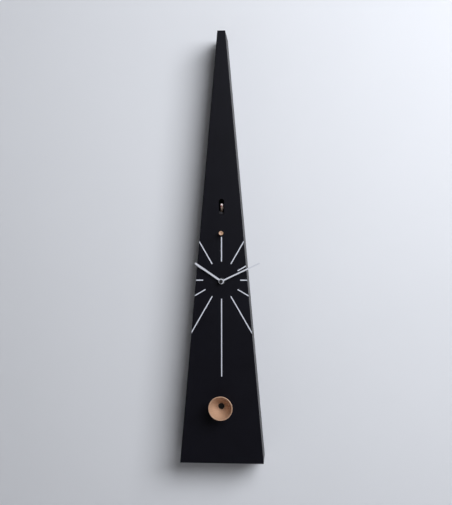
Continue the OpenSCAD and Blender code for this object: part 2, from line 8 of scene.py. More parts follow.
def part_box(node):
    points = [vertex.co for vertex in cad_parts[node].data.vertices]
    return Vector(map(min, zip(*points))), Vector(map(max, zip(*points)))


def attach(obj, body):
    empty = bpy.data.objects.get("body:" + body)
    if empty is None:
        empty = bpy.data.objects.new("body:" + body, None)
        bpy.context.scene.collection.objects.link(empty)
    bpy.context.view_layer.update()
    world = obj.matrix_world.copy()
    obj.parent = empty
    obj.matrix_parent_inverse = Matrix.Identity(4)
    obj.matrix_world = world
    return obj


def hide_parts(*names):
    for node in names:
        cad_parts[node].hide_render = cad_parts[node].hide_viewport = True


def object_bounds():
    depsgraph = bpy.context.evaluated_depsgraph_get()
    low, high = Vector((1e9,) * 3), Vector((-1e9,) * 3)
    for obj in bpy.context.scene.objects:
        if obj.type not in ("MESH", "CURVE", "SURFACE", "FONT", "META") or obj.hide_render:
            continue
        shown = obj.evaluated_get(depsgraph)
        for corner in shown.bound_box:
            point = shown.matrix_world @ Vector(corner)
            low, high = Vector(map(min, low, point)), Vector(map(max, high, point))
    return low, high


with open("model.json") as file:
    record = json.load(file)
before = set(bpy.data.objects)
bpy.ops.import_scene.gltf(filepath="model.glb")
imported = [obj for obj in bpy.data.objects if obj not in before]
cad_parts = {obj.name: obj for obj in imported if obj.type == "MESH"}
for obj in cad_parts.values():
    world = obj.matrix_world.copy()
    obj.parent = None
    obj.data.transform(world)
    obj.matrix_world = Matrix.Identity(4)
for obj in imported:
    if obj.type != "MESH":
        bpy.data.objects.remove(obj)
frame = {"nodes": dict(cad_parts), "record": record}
cadLow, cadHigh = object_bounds()
bodyOfNode = {node: body for body, nodes in frame["record"]["behaviour"]["bodies"].items()
              for node in nodes}
slotOfNode = {row["node"]: row["material_slot"] for row in frame["record"]["subparts"]}
mm = 0.001
print("frame loaded:", len(bodyOfNode), "nodes")


# ---- small helpers ----

def middle(node):
    low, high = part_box(node)
    return (low + high) / 2


def camelName(node):
    first, *rest = node.split("_")
    return first + "".join(word.capitalize() for word in rest)


def addNode(tree, kind, values=None, **settings):
    node = tree.nodes.new(kind)
    for key, value in settings.items():
        setattr(node, key, value)
    for key, value in (values or {}).items():
        if isinstance(value, bpy.types.NodeSocket):
            tree.links.new(value, node.inputs[key])
        else:
            node.inputs[key].default_value = value
    return node


def addObject(name, mesh):
    piece = bpy.data.objects.new(name, mesh)
    bpy.context.scene.collection.objects.link(piece)
    return piece


def meshFrom(bm, name, sharpDegrees=35):
    mesh = bpy.data.meshes.new(name)
    bm.to_mesh(mesh)
    bm.free()
    mesh.shade_smooth()
    mesh.set_sharp_from_angle(angle=math.radians(sharpDegrees))
    return mesh


def frozen(piece):  # turns live modifiers into a plain mesh
    view = bpy.context.evaluated_depsgraph_get()
    mesh = bpy.data.meshes.new_from_object(piece.evaluated_get(view))
    mesh.name = piece.name
    piece.modifiers.clear()
    piece.data = mesh
    return piece


def settle(piece, material, *nodes):  # rides with the nodes it stands for, in their finish
    piece.data.materials.clear()
    piece.data.materials.append(material)
    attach(piece, bodyOfNode[nodes[0]])
    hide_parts(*nodes)
    return piece


# ---- materials ----

def newMaterial(name, **shaderValues):
    material = bpy.data.materials.new(name)
    material.use_nodes = True
    tree = material.node_tree
    shader = tree.nodes["Principled BSDF"]
    for key, value in shaderValues.items():
        shader.inputs[key.replace("_", " ")].default_value = value
    return material, tree, shader


def objectPoint(tree, stretch=(1, 1, 1), centre=(0, 0, 0), turn=(0, 0, 0)):
    place = addNode(tree, "ShaderNodeTexCoord").outputs["Object"]
    shifted = addNode(tree, "ShaderNodeVectorMath", {0: place, 1: Vector(centre)}, operation="SUBTRACT")
    return addNode(tree, "ShaderNodeMapping", {"Vector": shifted.outputs[0], "Scale": stretch,
                                               "Rotation": turn}).outputs[0]


def noise(tree, point, scale, detail=3.0, rough=0.5, warp=0.0):
    values = {"Vector": point, "Scale": scale, "Detail": detail, "Roughness": rough, "Distortion": warp}
    return addNode(tree, "ShaderNodeTexNoise", values).outputs["Fac"]


def ramp(tree, factor, *stops):
    node = addNode(tree, "ShaderNodeValToRGB", {"Fac": factor})
    cells = node.color_ramp.elements
    while len(cells) < len(stops):
        cells.new(0.5)
    for cell, (place, colour) in zip(cells, stops):
        cell.position = place
        cell.color = (*colour, 1) if isinstance(colour, (tuple, list)) else (colour,) * 3 + (1,)
    return node.outputs["Color"]


def mixColour(tree, factor, first, second, blend="MIX"):
    node = addNode(tree, "ShaderNodeMix", data_type="RGBA", blend_type=blend)
    for socket, value in zip((node.inputs[0], node.inputs[6], node.inputs[7]), (factor, first, second)):
        if isinstance(value, bpy.types.NodeSocket):
            tree.links.new(value, socket)
        else:
            socket.default_value = (*value, 1) if isinstance(value, tuple) else value
    return node.outputs[2]


def bump(tree, shader, height, depth, strength=1.0):
    earlier = shader.inputs["Normal"].links
    values = {"Height": height, "Distance": depth, "Strength": strength}
    if earlier:
        values["Normal"] = earlier[0].from_socket
    tree.links.new(addNode(tree, "ShaderNodeBump", values).outputs[0], shader.inputs["Normal"])


def spread(tree, value, low, high):  # maps 0..1 to low..high
    return addNode(tree, "ShaderNodeMapRange", {"Value": value, "To Min": low, "To Max": high}).outputs[0]


def lacquer(name, dark, light, roughness, gloss, grainDepth=0.012):
    material, tree, shader = newMaterial(name, Specular_IOR_Level=gloss)
    point = objectPoint(tree)
    cloud = noise(tree, point, 22, 4, 0.6)
    tree.links.new(ramp(tree, cloud, (0.3, dark), (0.7, light)), shader.inputs["Base Color"])
    smear = noise(tree, objectPoint(tree, (60, 60, 14)), 1, 5, 0.6)
    tree.links.new(spread(tree, smear, *roughness), shader.inputs["Roughness"])
    bump(tree, shader, noise(tree, point, 700, 2), grainDepth * mm, 0.6)  # orange peel
    bump(tree, shader, noise(tree, point, 2600, 1), grainDepth * 0.4 * mm, 0.5)  # spray dust
    return material


def wood(name, pale, deep, fleck, along="X", roughness=(0.5, 0.72), grainDepth=0.03, scale=1.0):
    material, tree, shader = newMaterial(name)
    quick, slow = 1, 0.05
    stretch = {"X": (slow, quick, quick), "Y": (quick, slow, quick), "Z": (quick, quick, slow)}[along]
    point = objectPoint(tree, stretch)
    bend = noise(tree, point, 30 * scale, 3, 0.5)
    ringPoint = objectPoint(tree, tuple(0.35 * s for s in stretch), (0, 0.05, 0.02), (0.25, 0.15, 0.1))
    rings = addNode(tree, "ShaderNodeTexWave", {"Vector": ringPoint, "Scale": 120 * scale,
                    "Distortion": 5, "Detail": 3, "Detail Scale": 1.4}, wave_type="RINGS").outputs["Fac"]
    fibre = noise(tree, point, 900 * scale, 4, 0.65)
    body = ramp(tree, rings, (0.05, deep), (0.55, pale), (1.0, pale))
    body = mixColour(tree, spread(tree, bend, 0, 0.45), body, deep)
    dash = ramp(tree, noise(tree, point, 420 * scale, 1), (0.62, 0.0), (0.7, 1.0))
    tree.links.new(mixColour(tree, spread(tree, dash, 0, 0.5), body, fleck), shader.inputs["Base Color"])
    tree.links.new(spread(tree, fibre, *roughness), shader.inputs["Roughness"])
    bump(tree, shader, fibre, grainDepth * mm, 0.7)
    bump(tree, shader, rings, grainDepth * 0.5 * mm, 0.35)
    return material


def metal(name, colour, roughness=(0.22, 0.42), turnedOn=None, centre=(0, 0, 0), wear=0.85):
    material, tree, shader = newMaterial(name, Metallic=1.0)
    point = objectPoint(tree, centre=centre)
    mottle = noise(tree, point, 70, 4, 0.6)
    worn = tuple(wear * c for c in colour)
    tree.links.new(ramp(tree, mottle, (0.25, worn), (0.6, colour)), shader.inputs["Base Color"])
    tree.links.new(spread(tree, noise(tree, point, 420, 3), *roughness), shader.inputs["Roughness"])
    if turnedOn:  # fine lathe lines round that axis
        lines = addNode(tree, "ShaderNodeTexWave", {"Vector": point, "Scale": 900, "Distortion": 0.6},
                        wave_type="RINGS", rings_direction=turnedOn).outputs["Fac"]
        bump(tree, shader, lines, 0.004 * mm, 0.4)
    bump(tree, shader, noise(tree, point, 1500, 2), 0.002 * mm, 0.4)
    return material


def moulded(name, colour, roughness=(0.42, 0.6), grain=1500, grainDepth=0.02, **shaderValues):
    material, tree, shader = newMaterial(name, **shaderValues)
    point = objectPoint(tree)
    lighter = tuple(min(1, 1.35 * c + 0.004) for c in colour)
    cloud = noise(tree, point, 60, 4, 0.6)
    tree.links.new(ramp(tree, cloud, (0.3, colour), (0.75, lighter)), shader.inputs["Base Color"])
    tree.links.new(spread(tree, noise(tree, point, 240, 3), *roughness), shader.inputs["Roughness"])
    bump(tree, shader, noise(tree, point, grain, 2), grainDepth * mm, 0.6)  # spark-eroded grain
    return material


def whitePaint(name, colour, roughness, coarse):
    material, tree, shader = newMaterial(name)
    point = objectPoint(tree)
    shade = tuple(0.93 * c for c in colour)
    cloud = noise(tree, point, 90, 4, 0.6)
    tree.links.new(ramp(tree, cloud, (0.3, shade), (0.65, colour)), shader.inputs["Base Color"])
    tree.links.new(spread(tree, noise(tree, point, 500, 2), *roughness), shader.inputs["Roughness"])
    bump(tree, shader, noise(tree, point, coarse, 2), 0.01 * mm, 0.5)
    return material


birdPlace = {"feetFromFront": 5.6, "eye": (2.15, -3.6, 13.9), "eyeRadius": 0.6, "pupilPaint": 0.65,
             "ruffle": 0.8}


def birdBase():  # the middle between the bird's feet
    low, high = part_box("bird")
    return Vector((0, low.y + birdPlace["feetFromFront"] * mm, low.z))


def birdEye():  # the right eye; the left one mirrors it
    return birdBase() + Vector(birdPlace["eye"]) * mm


def birdPaint():
    material, tree, shader = newMaterial("birdPaint")
    low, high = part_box("bird")
    point = objectPoint(tree, centre=(0, (low.y + high.y) / 2, low.z))
    axes = addNode(tree, "ShaderNodeSeparateXYZ", {0: point})
    brush = noise(tree, objectPoint(tree, (1, 1, 0.3)), 900, 3, 0.6)
    ruffled = spread(tree, brush, -birdPlace["ruffle"] * mm, birdPlace["ruffle"] * mm)
    height = addNode(tree, "ShaderNodeMath", {0: axes.outputs["Z"], 1: ruffled}, operation="ADD").outputs[0]
    tall = high.z - low.z
    share = addNode(tree, "ShaderNodeMapRange", {"Value": height, "From Max": tall}).outputs[0]
    # colour by height, from dark brown at the feet to white-pink at the head: the white-pink head and
    # grey-brown body are the bird's paint, the darkening towards the feet is painted shade
    plumageAndShade = ramp(tree, share, (0.0, (0.11, 0.08, 0.065)), (0.3, (0.24, 0.175, 0.14)),
                   (0.6, (0.42, 0.32, 0.26)), (0.68, (0.66, 0.52, 0.46)), (0.78, (0.95, 0.82, 0.79)))
    mirrored = addNode(tree, "ShaderNodeVectorMath", {0: objectPoint(tree)}, operation="ABSOLUTE").outputs[0]
    eye = birdEye()
    away = addNode(tree, "ShaderNodeVectorMath", {0: mirrored, 1: (abs(eye.x), abs(eye.y), abs(eye.z))},
                   operation="DISTANCE").outputs["Value"]
    pupil = addNode(tree, "ShaderNodeMath", {0: away, 1: birdPlace["pupilPaint"] * mm},
                    operation="LESS_THAN").outputs[0]
    tree.links.new(mixColour(tree, pupil, plumageAndShade, (0.01, 0.008, 0.008)), shader.inputs["Base Color"])
    tree.links.new(spread(tree, pupil, 0.5, 0.1), shader.inputs["Roughness"])
    bump(tree, shader, brush, 0.05 * mm, 0.7)
    return material


def circuitGreen():
    material, tree, shader = newMaterial("circuitGreen", Roughness=0.28)
    point = objectPoint(tree)
    tracks = addNode(tree, "ShaderNodeTexBrick", {"Vector": objectPoint(tree, turn=(math.pi / 2, 0, 0)),
                     "Scale": 160, "Mortar Size": 0.03, "Color1": (0.01, 0.10, 0.035, 1),
                     "Color2": (0.012, 0.12, 0.04, 1), "Mortar": (0.04, 0.24, 0.09, 1)})
    tree.links.new(mixColour(tree, spread(tree, noise(tree, point, 120), 0, 0.4), tracks.outputs["Color"],
                             (0.006, 0.07, 0.025)), shader.inputs["Base Color"])
    bump(tree, shader, tracks.outputs["Fac"], -0.03 * mm, 0.5)
    return material


def cellSleeve(name, centreNode):
    material, tree, shader = newMaterial(name)
    low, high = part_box(centreNode)
    point = objectPoint(tree, centre=((low.x + high.x) / 2, 0, 0))
    side = addNode(tree, "ShaderNodeSeparateXYZ", {0: point}).outputs["X"]
    span = (high.x - low.x) / 2
    share = addNode(tree, "ShaderNodeMapRange", {"Value": side, "From Min": -span,
                    "From Max": span}).outputs[0]
    bands = addNode(tree, "ShaderNodeValToRGB", {"Fac": share})
    bands.color_ramp.interpolation = "CONSTANT"
    cells = bands.color_ramp.elements
    steelGrey, blue, silver = (0.6, 0.6, 0.62, 1), (0.02, 0.06, 0.14, 1), (0.45, 0.47, 0.5, 1)
    for place, colour in ((0.03, blue), (0.3, silver), (0.34, blue), (0.66, blue), (0.97, steelGrey)):
        cells.new(place).color = colour
    cells[0].color = steelGrey
    cells[-1].color = steelGrey
    tree.links.new(bands.outputs[0], shader.inputs["Base Color"])
    tree.links.new(spread(tree, noise(tree, point, 300, 3), 0.22, 0.36), shader.inputs["Roughness"])
    bump(tree, shader, noise(tree, point, 500, 2), 0.01 * mm, 0.4)
    shader.inputs["Metallic"].default_value = 0.35
    return material


def windings(name, node, axis):
    material, tree, shader = newMaterial(name, Metallic=1.0, Roughness=0.3)
    point = objectPoint(tree, centre=middle(node))
    turnsAndGrooveShade = addNode(tree, "ShaderNodeTexWave", {"Vector": point, "Scale": 1600}, wave_type="BANDS",
                    bands_direction=axis).outputs["Fac"]
    # enamelled copper wire; the darker copper between the turns is painted shade in the grooves
    tree.links.new(ramp(tree, turnsAndGrooveShade, (0.0, (0.22, 0.07, 0.02)), (0.6, (0.72, 0.28, 0.10))),
                   shader.inputs["Base Color"])
    bump(tree, shader, turnsAndGrooveShade, 0.05 * mm)
    return material


def speakerPaper():
    material, tree, shader = newMaterial("speakerPaper", Roughness=0.9)
    point = objectPoint(tree, centre=middle("speaker_cone"))
    rings = addNode(tree, "ShaderNodeTexWave", {"Vector": point, "Scale": 260}, wave_type="RINGS",
                    rings_direction="Y").outputs["Fac"]
    fibres = noise(tree, point, 1800, 4, 0.7)
    tree.links.new(ramp(tree, fibres, (0.3, 0.012), (0.7, 0.035)), shader.inputs["Base Color"])
    bump(tree, shader, rings, 0.15 * mm, 0.5)
    bump(tree, shader, fibres, 0.03 * mm, 0.5)
    return material


finishes = {
    "black_satin": lacquer("frontLacquer", (0.0034, 0.0033, 0.0062), (0.0045, 0.0045, 0.0082), (0.4, 0.5),
                           0.15),
    "sides": lacquer("sideLacquer", (0.009, 0.009, 0.011), (0.012, 0.012, 0.014), (0.42, 0.52), 0.28),
    "bare_board": wood("pineAcross", (0.62, 0.45, 0.27), (0.42, 0.27, 0.13), (0.30, 0.17, 0.08)),
    "upright": wood("pineUpright", (0.62, 0.45, 0.27), (0.42, 0.27, 0.13), (0.30, 0.17, 0.08), "Z"),
    "steel": metal("zincSteel", (0.58, 0.59, 0.61)),
    "rod": metal("drawnSteel", (0.60, 0.60, 0.62), (0.16, 0.3)),
    "brass": metal("turnedBrass", (0.76, 0.55, 0.24), (0.2, 0.3), "Y", (0, 0, middle("pivot_bush").z)),
    "black_plastic": moulded("blackPlastic", (0.026, 0.026, 0.032)),
    "pale_plastic": moulded("acetal", (0.66, 0.64, 0.57), (0.3, 0.42), 700, 0.01,
                            Subsurface_Weight=0.08, Subsurface_Scale=0.002),
    "white_print": whitePaint("barPrint", (0.69, 0.715, 0.79), (0.55, 0.7), 1600),
    "white_enamel": whitePaint("handEnamel", (0.66, 0.675, 0.73), (0.35, 0.47), 800),
    "black_metal": moulded("blackMetal", (0.012, 0.012, 0.013), (0.25, 0.4), 900, 0.01),
    "turned_beech": wood("turnedBeech", (0.59, 0.375, 0.25), (0.5, 0.305, 0.195), (0.4, 0.235, 0.14), "X",
                         (0.38, 0.52), 0.008, 3.2),
    "bird_paint": birdPaint(),
    "beak_paint": moulded("beakRed", (0.15, 0.012, 0.010), (0.3, 0.4), 900, 0.01),
    "board_green": circuitGreen(),
    "driveWire": windings("driveWire", "drive_coil", "Y"),
    "screwBlack": moulded("screwBlack", (0.006, 0.0055, 0.005), (0.5, 0.6), 900, 0.01,
                          Specular_IOR_Level=0.2),
    "copper_wire": windings("motorWire", "motor_coil", "Z"),
    "cell_sleeve": cellSleeve("cellSleeve", "clock_cell"),
    "paper_black": speakerPaper(),
}
print("materials made:", len(finishes))

finishOf = {node: finishes[slot] for node, slot in slotOfNode.items()}
finishOf.update(left_side=finishes["sides"], right_side=finishes["sides"],
                top_block=finishes["upright"], glue_blocks=finishes["upright"],
                pendulum_rod=finishes["rod"], pendulum_arbor=finishes["rod"], bob_stem=finishes["rod"],
                drive_coil=finishes["driveWire"], bob_screw=finishes["screwBlack"])

for node, part in frame["nodes"].items():  # every carried-over solid gets its finish
    if not part.material_slots:
        part.data.materials.append(finishOf[node])
    for place in part.material_slots:
        place.material = finishOf[node]


# ---- bevelled copies of the flat-sided parts ----

edgeRounding = {  # millimetres
    "front_panel": 0.7, "left_side": 0.5, "right_side": 0.5, "bottom_panel": 0.5, "top_block": 0.5,
    "middle_brace": 0.8, "lower_brace": 0.8, "glue_blocks": 0.7, "setting_knob": 0.15,
    "movement_front_shell": 0.4, "movement_back_shell": 0.5, "shaft_nut": 0.25, "shaft_washer": 0.1,
    "hour_hand": 0.18, "minute_hand": 0.18, "rod_hanger": 0.4, "bob_carrier": 0.5, "drive_case": 0.5,
    "cuckoo_case": 0.6, "battery_box": 0.4, "bird_guide": 0.2, "bird_carriage": 0.2,
    "volume_switch": 0.3, "circuit_board": 0.1, "sound_board": 0.1, "motor_stator": 0.1,
    "cell_contacts": 0.1, "drive_magnet": 0.3, "bird_motor": 0.5,
}


def softened(node, rounding):
    bm = bmesh.new()
    bm.from_mesh(frame["nodes"][node].data)
    bmesh.ops.remove_doubles(bm, verts=bm.verts, dist=0.001 * mm)
    if node not in ("top_block", "cuckoo_case"):  # their faces have holes that must stay split
        bmesh.ops.dissolve_limit(bm, angle_limit=math.radians(0.5), verts=bm.verts, edges=bm.edges)
    piece = addObject(camelName(node), meshFrom(bm, camelName(node), 30))
    rounds = piece.modifiers.new("edges", "BEVEL")
    rounds.width = rounding * mm
    rounds.segments = 2
    rounds.limit_method = "ANGLE"
    rounds.angle_limit = math.radians(40)
    rounds.miter_outer = "MITER_ARC"
    shade = piece.modifiers.new("shade", "WEIGHTED_NORMAL")
    shade.keep_sharp = True
    return settle(frozen(piece), finishOf[node], node)


for node, rounding in edgeRounding.items():
    softened(node, rounding)
print("bevelled parts made:", len(edgeRounding))


# ---- turned parts ----

def arc(centreR, centreD, radius, start, end, steps=6):  # points of a rounded stretch, in degrees
    angles = [math.radians(start + (end - start) * i / steps) for i in range(steps + 1)]
    return [(centreR + radius * math.cos(a), centreD + radius * math.sin(a)) for a in angles]


def bowed(start, end, bow, steps=8):  # a run from start to end that bulges sideways by bow
    (r0, d0), (r1, d1) = start, end
    length = math.hypot(r1 - r0, d1 - d0)
    sideR, sideD = (d1 - d0) / length, (r0 - r1) / length
    points = []
    for i in range(steps + 1):
        t = i / steps
        lift = bow * math.sin(math.pi * t)
        points.append((r0 + (r1 - r0) * t + sideR * lift, d0 + (d1 - d0) * t + sideD * lift))
    return points


def turned(name, profile, centre, segments=96, towards=(0, -1, 0)):
    # profile: (radius, distance along the axis from the centre) in millimetres, as a closed outline
    bm = bmesh.new()
    axis = Vector(towards)
    side = axis.orthogonal().normalized()
    other = axis.cross(side)
    rings = []
    for radius, forward in profile:
        if radius < 0.001:
            rings.append([bm.verts.new(centre + axis * forward * mm)])
            continue
        ring = []
        for k in range(segments):
            a = 2 * math.pi * k / segments
            out = side * math.cos(a) + other * math.sin(a)
            ring.append(bm.verts.new(centre + (axis * forward + out * radius) * mm))
        rings.append(ring)
    for ring, after in zip(rings, rings[1:] + rings[:1]):
        for k in range(segments):
            corners = [ring[k % len(ring)], ring[(k + 1) % len(ring)],
                       after[(k + 1) % len(after)], after[k % len(after)]]
            corners = [v for i, v in enumerate(corners) if v not in corners[:i]]
            if len(corners) > 2:
                bm.faces.new(corners)
    bmesh.ops.recalc_face_normals(bm, faces=bm.faces)
    return addObject(name, meshFrom(bm, name, 50))


def backCentre(node):  # middle of a turned part's back face
    low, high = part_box(node)
    return Vector(((low.x + high.x) / 2, high.y, (low.z + high.z) / 2))


bobShape = {"rim": 22.0, "lip": 0.95, "wall": 2.3, "neck": 8.0, "length": 29.0, "floor": 2.5,
            "floorRadius": 6.2, "stem": 2.0}


def makeBob():
    s = bobShape
    rimOut = s["rim"] - s["lip"]
    rimIn = s["rim"] - 2 * s["lip"]
    lipAt = s["length"] - s["lip"]
    profile = [(s["stem"], 0)]
    profile += arc(s["neck"] - 1.2, 1.2, 1.2, -90, 0)
    profile += bowed((s["neck"], 1.6), (s["rim"] - 0.25, lipAt - 1.2), 1.3, 14)
    profile += arc(rimOut, lipAt, s["lip"], 0, 180, 8)
    profile += bowed((rimIn, lipAt - 0.6), (s["floorRadius"] + 0.5, s["floor"] + 0.6), -1.6, 14)
    profile += arc(s["floorRadius"] - 0.2, s["floor"] + 0.7, 0.7, 0, -90, 4)
    profile += [(s["stem"], s["floor"])]
    return settle(turned("bob", profile, backCentre("bob"), 128), finishOf["bob"], "bob")


# pairs are (radius, distance from the back)
capShape = {"bore": 2.0, "boreDepth": 10.4, "footRound": 0.35, "footAt": (2.35, 0.35),
            "waist": ((2.72, 0.8), (3.88, 12.2)), "waistBow": -0.3, "lip": 0.55, "lipAt": (3.35, 12.85),
            "dish": ((3.0, 13.25), (0, 12.4)), "dishBow": -0.15}


def makeCap():
    s = capShape
    profile = [(s["bore"], 0)] + arc(*s["footAt"], s["footRound"], -90, 0, 4)
    profile += bowed(*s["waist"], s["waistBow"], 10)
    profile += arc(*s["lipAt"], s["lip"], 0, 110, 8)
    profile += bowed(*s["dish"], s["dishBow"], 6)
    profile += [(0, s["boreDepth"]), (s["bore"], s["boreDepth"])]
    piece = turned("pivotCap", profile, backCentre("pivot_cap"), 64)
    return settle(piece, finishOf["pivot_cap"], "pivot_cap")


handNutShape = {"bore": 1.5, "boreDepth": 2.4, "foot": 3.2, "footRound": 0.25, "footAt": (3.15, 0.25),
                "dome": 1.2, "domeAt": (2.2, 3.8), "height": 5.0}


def makeHandNut():
    s = handNutShape
    profile = [(s["bore"], 0.0), (s["foot"], 0.0)] + arc(*s["footAt"], s["footRound"], -60, 0, 3)
    profile += arc(*s["domeAt"], s["dome"], 0, 90, 8) + [(0, s["height"])]
    profile += [(0, s["boreDepth"]), (s["bore"], s["boreDepth"])]
    piece = turned("handNut", profile, backCentre("hand_nut"), 64)
    return settle(piece, finishOf["hand_nut"], "hand_nut")


def lumps(node):  # the box of each separate lump in a CAD solid
    bm = bmesh.new()
    bm.from_mesh(frame["nodes"][node].data)
    bmesh.ops.remove_doubles(bm, verts=bm.verts, dist=0.001 * mm)
    waiting = set(bm.verts)
    boxes = []
    while waiting:
        front = [waiting.pop()]
        found = list(front)
        while front:
            near = {edge.other_vert(v) for v in front for edge in v.link_edges} & waiting
            waiting -= near
            front = list(near)
            found += front
        boxes.append((Vector([min(v.co[i] for v in found) for i in range(3)]),
                      Vector([max(v.co[i] for v in found) for i in range(3)])))
    bm.free()
    return sorted(boxes, key=lambda box: tuple(box[0]))


cellShape = {"shoulder": 0.9, "neck": 1.2, "nub": 2.6, "flat": 4.6}


def makeCells(node, plusSides):
    s = cellShape
    made = []
    for (low, high), plusSide in zip(lumps(node), plusSides):
        across = (high.z - low.z) / 2 / mm
        length = (high.x - low.x) / mm
        top = length - s["neck"]
        profile = [(0, 0), (s["flat"], 0), (s["flat"] + 0.2, 0.35)]
        profile += arc(across - s["shoulder"], s["shoulder"] + 0.2, s["shoulder"], -90, 0, 5)
        profile += arc(across - s["shoulder"], top - s["shoulder"], s["shoulder"], 0, 90, 5)
        profile += [(s["nub"] + 0.5, top)] + arc(s["nub"] - 0.4, length - 0.4, 0.4, 0, 90, 4) + [(0, length)]
        start = Vector((low.x if plusSide > 0 else high.x, (low.y + high.y) / 2, (low.z + high.z) / 2))
        made.append(turned(camelName(node), profile, start, 48, (plusSide, 0, 0)))
    bm = bmesh.new()
    for piece in made:
        bm.from_mesh(piece.data)
        bpy.data.objects.remove(piece)
    joined = addObject(camelName(node), meshFrom(bm, camelName(node)))
    return settle(joined, finishOf[node], node)


makeBob()
makeCap()
makeHandNut()
makeCells("clock_cell", [1])
makeCells("sound_cells", [-1, 1])
print("turned parts made")


# ---- geometry node trees ----

def newTree(name, *sockets):
    tree = bpy.data.node_groups.new(name, "GeometryNodeTree")
    tree.interface.new_socket("Geometry", in_out="INPUT", socket_type="NodeSocketGeometry")
    for label, kind in sockets:
        tree.interface.new_socket(label, in_out="INPUT", socket_type="NodeSocket" + kind)
    tree.interface.new_socket("Geometry", in_out="OUTPUT", socket_type="NodeSocketGeometry")
    start = tree.nodes.new("NodeGroupInput")
    return tree, start.outputs


def endTree(tree, geometry, material):
    made = addNode(tree, "GeometryNodeRealizeInstances", {0: geometry}).outputs[0]
    made = addNode(tree, "GeometryNodeSetMaterial", {"Geometry": made, "Material": material}).outputs[0]
    tree.links.new(made, tree.nodes.new("NodeGroupOutput").inputs[0])


def maths(tree, operation, first, second=0.0):
    return addNode(tree, "ShaderNodeMath", {0: first, 1: second}, operation=operation).outputs[0]


def attribute(tree, name, kind):
    return addNode(tree, "GeometryNodeInputNamedAttribute", {"Name": name}, data_type=kind).outputs[0]


def run(tree, piece, **values):
    modifier = piece.modifiers.new(tree.name, "NODES")
    modifier.node_group = tree
    for item in tree.interface.items_tree:
        key = item.name[0].lower() + item.name[1:].replace(" ", "")
        if item.in_out == "INPUT" and key in values:
            modifier[item.identifier] = values[key]
    return frozen(piece)


def hourBarTree():
    # twelve flat bars round the dial, each cut where it meets the slanting edge of the case
    tree, given = newTree("hourBars", ("Inner Radius", "Float"), ("Bar Width", "Float"),
                          ("Thickness", "Float"), ("Half Width", "Float"), ("Slope", "Float"),
                          ("Reach 12", "Float"), ("Reach 6", "Float"), ("Centre", "Vector"),
                          ("Material", "Material"))
    bar = addNode(tree, "GeometryNodeMeshGrid", {"Size X": 1.0, "Size Y": 1.0, "Vertices X": 2,
                  "Vertices Y": 2})
    local = addNode(tree, "GeometryNodeInputPosition").outputs[0]
    held = addNode(tree, "GeometryNodeStoreNamedAttribute", {"Geometry": bar.outputs[0], "Name": "local",
                   "Value": local}, data_type="FLOAT_VECTOR", domain="POINT").outputs[0]
    hours = addNode(tree, "GeometryNodeMeshLine", {"Count": 12}).outputs[0]
    copies = addNode(tree, "GeometryNodeInstanceOnPoints", {"Points": hours, "Instance": held}).outputs[0]
    number = addNode(tree, "GeometryNodeInputIndex").outputs[0]
    copies = addNode(tree, "GeometryNodeStoreNamedAttribute", {"Geometry": copies, "Name": "hour",
                     "Value": number}, data_type="INT", domain="INSTANCE").outputs[0]
    flat = addNode(tree, "GeometryNodeRealizeInstances", {0: copies}).outputs[0]
    hour = attribute(tree, "hour", "INT")
    place = attribute(tree, "local", "FLOAT_VECTOR")
    across = addNode(tree, "ShaderNodeSeparateXYZ", {0: place})
    side = maths(tree, "MULTIPLY", across.outputs["X"], given["Bar Width"])
    angle = maths(tree, "MULTIPLY", hour, math.radians(30))
    sine, cosine = maths(tree, "SINE", angle), maths(tree, "COSINE", angle)
    facing = maths(tree, "SIGN", maths(tree, "SUBTRACT", 6.0, hour))  # +1 on the right half
    # along the bar, half width - slope * height = distance from the middle
    reach = maths(tree, "SUBTRACT", given["Half Width"],
                  maths(tree, "MULTIPLY", maths(tree, "MULTIPLY", facing, cosine), side))
    slopeSine = maths(tree, "MULTIPLY", given["Slope"], sine)
    slopeCosine = maths(tree, "MULTIPLY", given["Slope"], cosine)
    reach = maths(tree, "ADD", reach, maths(tree, "MULTIPLY", slopeSine, side))
    rate = maths(tree, "ADD", maths(tree, "MULTIPLY", facing, sine), slopeCosine)
    reach = maths(tree, "DIVIDE", reach, rate)
    for uprightHour, label in ((0, "Reach 12"), (6, "Reach 6")):  # these two meet no slanting edge
        same = addNode(tree, "FunctionNodeCompare", {2: hour, 3: uprightHour}, data_type="INT",
                       operation="EQUAL").outputs[0]
        reach = addNode(tree, "GeometryNodeSwitch", {"Switch": same, "False": reach, "True": given[label]},
                        input_type="FLOAT").outputs[0]
    share = maths(tree, "ADD", across.outputs["Y"], 0.5)
    length = maths(tree, "SUBTRACT", reach, given["Inner Radius"])
    radius = maths(tree, "ADD", given["Inner Radius"], maths(tree, "MULTIPLY", share, length))
    x = maths(tree, "ADD", maths(tree, "MULTIPLY", sine, radius), maths(tree, "MULTIPLY", cosine, side))
    z = maths(tree, "SUBTRACT", maths(tree, "MULTIPLY", cosine, radius), maths(tree, "MULTIPLY", sine, side))
    spot = addNode(tree, "ShaderNodeCombineXYZ", {"X": x, "Y": 0.0, "Z": z}).outputs[0]
    spot = addNode(tree, "ShaderNodeVectorMath", {0: spot, 1: given["Centre"]}, operation="ADD").outputs[0]
    flat = addNode(tree, "GeometryNodeSetPosition", {"Geometry": flat, "Position": spot}).outputs[0]
    forward = addNode(tree, "ShaderNodeCombineXYZ", {"Y": maths(tree, "MULTIPLY", given["Thickness"], -1.0)})
    raised = addNode(tree, "GeometryNodeExtrudeMesh", {"Mesh": flat, "Offset": forward.outputs[0],
                     "Offset Scale": 1.0, "Individual": False}).outputs[0]
    backs = addNode(tree, "GeometryNodeFlipFaces", {0: flat}).outputs[0]
    joined = addNode(tree, "GeometryNodeJoinGeometry")
    tree.links.new(raised, joined.inputs[0])
    tree.links.new(backs, joined.inputs[0])
    closed = addNode(tree, "GeometryNodeMergeByDistance", {"Geometry": joined.outputs[0],
                     "Distance": 0.001 * mm}).outputs[0]
    endTree(tree, closed, given["Material"])
    return tree


